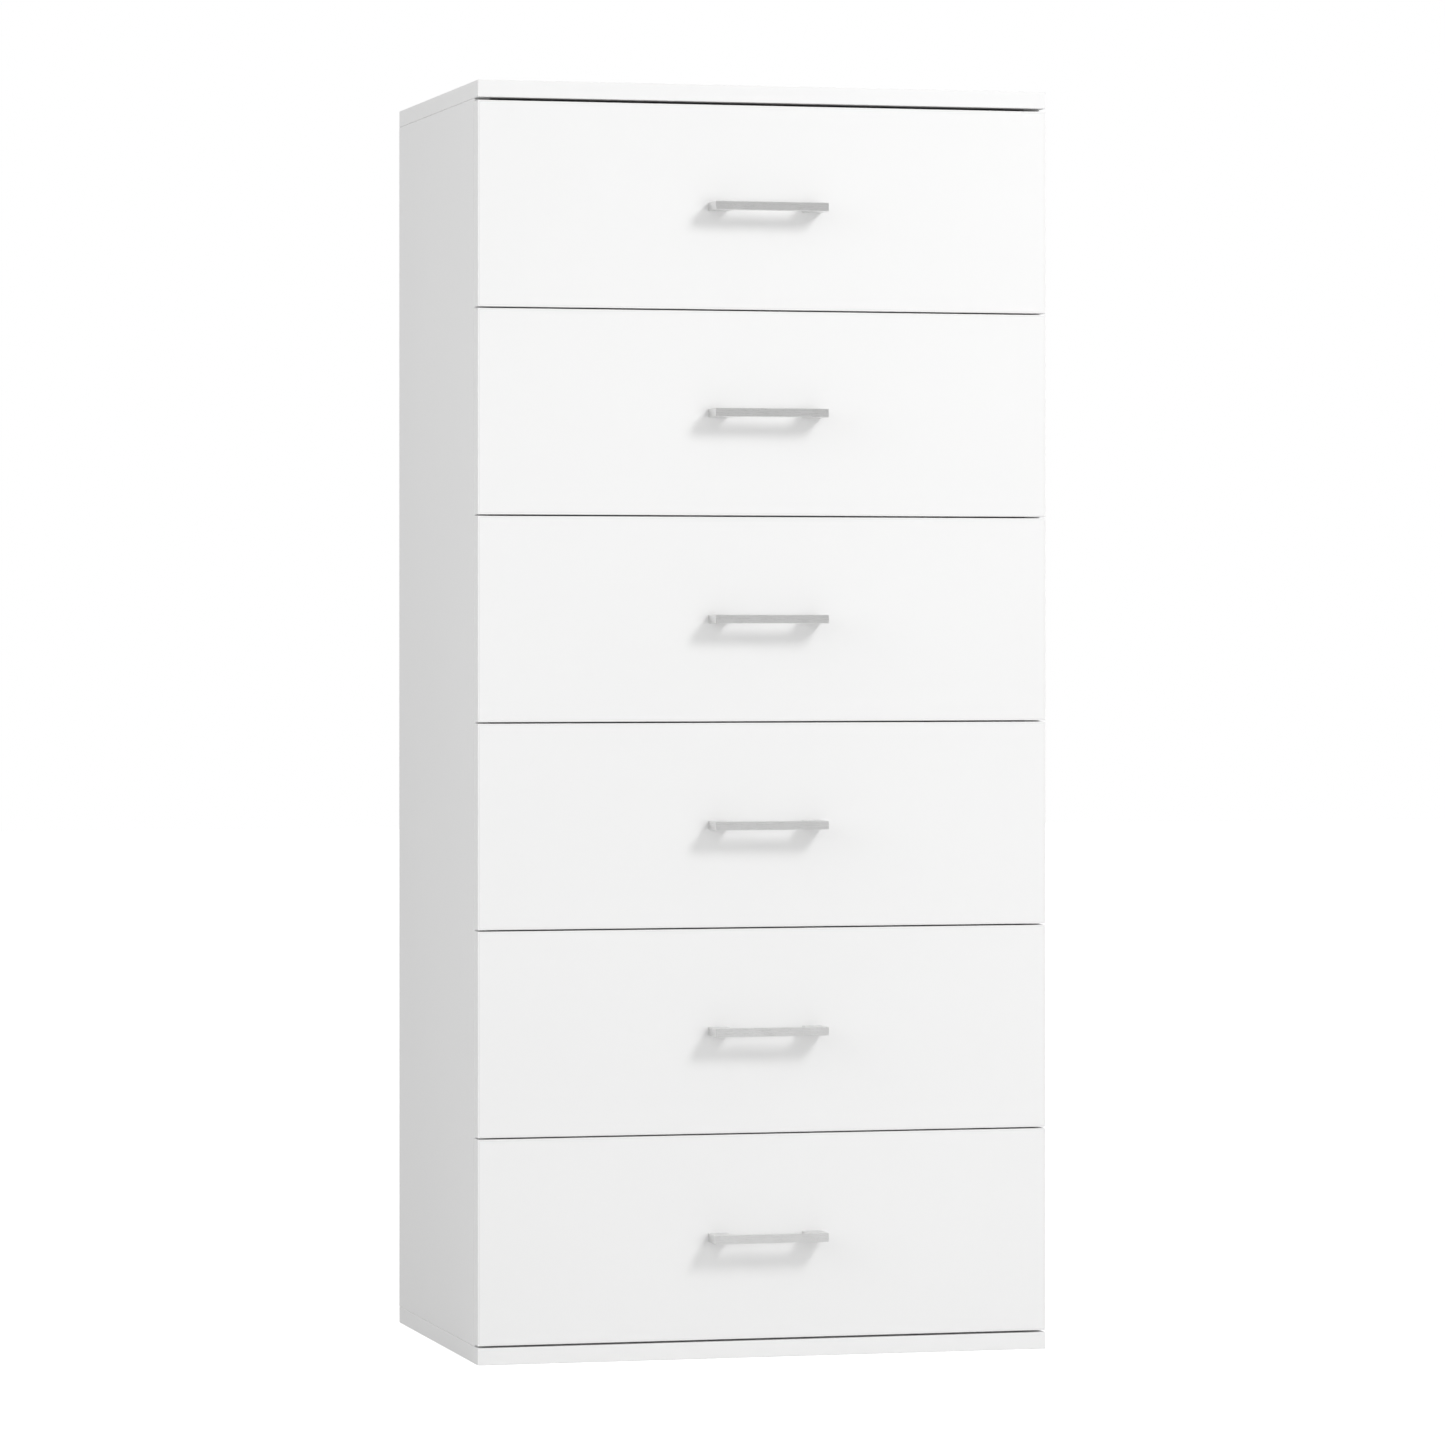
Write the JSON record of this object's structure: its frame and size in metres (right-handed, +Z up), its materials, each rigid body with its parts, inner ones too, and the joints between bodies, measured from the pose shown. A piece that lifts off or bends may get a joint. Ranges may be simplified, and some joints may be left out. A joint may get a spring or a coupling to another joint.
{
  "type": "tall chest of drawers",
  "caption": "Tall, narrow white chest with full-width drawers one above another, each with a short satin metal bar handle and roller runners inside a panel carcass.",
  "frame": {"origin": "centre of the carcass's underside, on the floor, with the depth taken from the drawer fronts' faces to the rear edges of the sides", "axes": "+Z up; the drawer fronts face -Y and the drawers open towards -Y; +X is on the right of a person who stands in front of the chest and faces it"},
  "size_m": [0.554, 0.4, 1.2],
  "materials": {
    "white_melamine": "white melamine-faced chipboard with rounded edge banding, satin",
    "box_melamine": "white foil-wrapped chipboard, matt",
    "white_hardboard": "hardboard, white lacquered on the face that shows, raw brown behind",
    "white_plastic": "extruded white plastic",
    "handle_metal": "satin nickel-plated die casting",
    "runner_steel": "white epoxy powder coat",
    "roller_plastic": "natural white nylon",
    "zinc_alloy": "bare zinc die casting",
    "plated_steel": "bright zinc-plated steel",
    "beech": "plain beech dowel"
  },
  "bodies": {
    "cabinet": {"top_panel": "white_melamine", "bottom_panel": "white_melamine", "left_side_panel": "white_melamine", "right_side_panel": "white_melamine", "upper_back_panel": "white_hardboard", "lower_back_panel": "white_hardboard", "back_joining_strip": "white_plastic", "cabinet_runners": "runner_steel", "cam_locks": "zinc_alloy", "cam_bolts": "plated_steel", "dowels": "beech", "runner_screws": "plated_steel"},
    "drawer_1": {"drawer_1_front": "white_melamine", "drawer_1_handle": "handle_metal", "drawer_1_sides": "box_melamine", "drawer_1_back": "box_melamine", "drawer_1_bottom": "white_hardboard", "drawer_1_runners": "runner_steel"},
    "rear_rollers_1": {"drawer_1_rear_rollers": "roller_plastic"},
    "front_rollers_1": {"drawer_1_front_rollers": "roller_plastic"},
    "drawer_2": {"drawer_2_front": "white_melamine", "drawer_2_handle": "handle_metal", "drawer_2_sides": "box_melamine", "drawer_2_back": "box_melamine", "drawer_2_bottom": "white_hardboard", "drawer_2_runners": "runner_steel"},
    "rear_rollers_2": {"drawer_2_rear_rollers": "roller_plastic"},
    "front_rollers_2": {"drawer_2_front_rollers": "roller_plastic"},
    "drawer_3": {"drawer_3_front": "white_melamine", "drawer_3_handle": "handle_metal", "drawer_3_sides": "box_melamine", "drawer_3_back": "box_melamine", "drawer_3_bottom": "white_hardboard", "drawer_3_runners": "runner_steel"},
    "rear_rollers_3": {"drawer_3_rear_rollers": "roller_plastic"},
    "front_rollers_3": {"drawer_3_front_rollers": "roller_plastic"},
    "drawer_4": {"drawer_4_front": "white_melamine", "drawer_4_handle": "handle_metal", "drawer_4_sides": "box_melamine", "drawer_4_back": "box_melamine", "drawer_4_bottom": "white_hardboard", "drawer_4_runners": "runner_steel"},
    "rear_rollers_4": {"drawer_4_rear_rollers": "roller_plastic"},
    "front_rollers_4": {"drawer_4_front_rollers": "roller_plastic"},
    "drawer_5": {"drawer_5_front": "white_melamine", "drawer_5_handle": "handle_metal", "drawer_5_sides": "box_melamine", "drawer_5_back": "box_melamine", "drawer_5_bottom": "white_hardboard", "drawer_5_runners": "runner_steel"},
    "rear_rollers_5": {"drawer_5_rear_rollers": "roller_plastic"},
    "front_rollers_5": {"drawer_5_front_rollers": "roller_plastic"},
    "drawer_6": {"drawer_6_front": "white_melamine", "drawer_6_handle": "handle_metal", "drawer_6_sides": "box_melamine", "drawer_6_back": "box_melamine", "drawer_6_bottom": "white_hardboard", "drawer_6_runners": "runner_steel"},
    "rear_rollers_6": {"drawer_6_rear_rollers": "roller_plastic"},
    "front_rollers_6": {"drawer_6_front_rollers": "roller_plastic"}
  },
  "joints": [
    {"name": "drawer_1_slide", "type": "slide", "parent": "cabinet", "child": "drawer_1", "axis": [0, -1, 0], "range_m": [0, 0.225]},
    {"name": "rear_rollers_1_turn", "type": "hinge", "parent": "drawer_1", "child": "rear_rollers_1", "pos_m": [0, 0.116, 1.0112], "axis": [1, 0, 0], "continuous": true},
    {"name": "front_rollers_1_turn", "type": "hinge", "parent": "cabinet", "child": "front_rollers_1", "pos_m": [0, -0.155, 1.0132], "axis": [1, 0, 0], "continuous": true},
    {"name": "drawer_2_slide", "type": "slide", "parent": "cabinet", "child": "drawer_2", "axis": [0, -1, 0], "range_m": [0, 0.225]},
    {"name": "rear_rollers_2_turn", "type": "hinge", "parent": "drawer_2", "child": "rear_rollers_2", "pos_m": [0, 0.116, 0.8171], "axis": [1, 0, 0], "continuous": true},
    {"name": "front_rollers_2_turn", "type": "hinge", "parent": "cabinet", "child": "front_rollers_2", "pos_m": [0, -0.155, 0.8191], "axis": [1, 0, 0], "continuous": true},
    {"name": "drawer_3_slide", "type": "slide", "parent": "cabinet", "child": "drawer_3", "axis": [0, -1, 0], "range_m": [0, 0.225]},
    {"name": "rear_rollers_3_turn", "type": "hinge", "parent": "drawer_3", "child": "rear_rollers_3", "pos_m": [0, 0.116, 0.623], "axis": [1, 0, 0], "continuous": true},
    {"name": "front_rollers_3_turn", "type": "hinge", "parent": "cabinet", "child": "front_rollers_3", "pos_m": [0, -0.155, 0.625], "axis": [1, 0, 0], "continuous": true},
    {"name": "drawer_4_slide", "type": "slide", "parent": "cabinet", "child": "drawer_4", "axis": [0, -1, 0], "range_m": [0, 0.225]},
    {"name": "rear_rollers_4_turn", "type": "hinge", "parent": "drawer_4", "child": "rear_rollers_4", "pos_m": [0, 0.116, 0.4289], "axis": [1, 0, 0], "continuous": true},
    {"name": "front_rollers_4_turn", "type": "hinge", "parent": "cabinet", "child": "front_rollers_4", "pos_m": [0, -0.155, 0.4309], "axis": [1, 0, 0], "continuous": true},
    {"name": "drawer_5_slide", "type": "slide", "parent": "cabinet", "child": "drawer_5", "axis": [0, -1, 0], "range_m": [0, 0.225]},
    {"name": "rear_rollers_5_turn", "type": "hinge", "parent": "drawer_5", "child": "rear_rollers_5", "pos_m": [0, 0.116, 0.2348], "axis": [1, 0, 0], "continuous": true},
    {"name": "front_rollers_5_turn", "type": "hinge", "parent": "cabinet", "child": "front_rollers_5", "pos_m": [0, -0.155, 0.2368], "axis": [1, 0, 0], "continuous": true},
    {"name": "drawer_6_slide", "type": "slide", "parent": "cabinet", "child": "drawer_6", "axis": [0, -1, 0], "range_m": [0, 0.225]},
    {"name": "rear_rollers_6_turn", "type": "hinge", "parent": "drawer_6", "child": "rear_rollers_6", "pos_m": [0, 0.116, 0.0407], "axis": [1, 0, 0], "continuous": true},
    {"name": "front_rollers_6_turn", "type": "hinge", "parent": "cabinet", "child": "front_rollers_6", "pos_m": [0, -0.155, 0.0427], "axis": [1, 0, 0], "continuous": true}
  ],
  "couplings": [
    {"joint": "rear_rollers_1_turn", "follows": "drawer_1_slide", "rad_per_m": 117.65},
    {"joint": "front_rollers_1_turn", "follows": "drawer_1_slide", "rad_per_m": 95.238},
    {"joint": "rear_rollers_2_turn", "follows": "drawer_2_slide", "rad_per_m": 117.65},
    {"joint": "front_rollers_2_turn", "follows": "drawer_2_slide", "rad_per_m": 95.238},
    {"joint": "rear_rollers_3_turn", "follows": "drawer_3_slide", "rad_per_m": 117.65},
    {"joint": "front_rollers_3_turn", "follows": "drawer_3_slide", "rad_per_m": 95.238},
    {"joint": "rear_rollers_4_turn", "follows": "drawer_4_slide", "rad_per_m": 117.65},
    {"joint": "front_rollers_4_turn", "follows": "drawer_4_slide", "rad_per_m": 95.238},
    {"joint": "rear_rollers_5_turn", "follows": "drawer_5_slide", "rad_per_m": 117.65},
    {"joint": "front_rollers_5_turn", "follows": "drawer_5_slide", "rad_per_m": 95.238},
    {"joint": "rear_rollers_6_turn", "follows": "drawer_6_slide", "rad_per_m": 117.65},
    {"joint": "front_rollers_6_turn", "follows": "drawer_6_slide", "rad_per_m": 95.238}
  ]
}
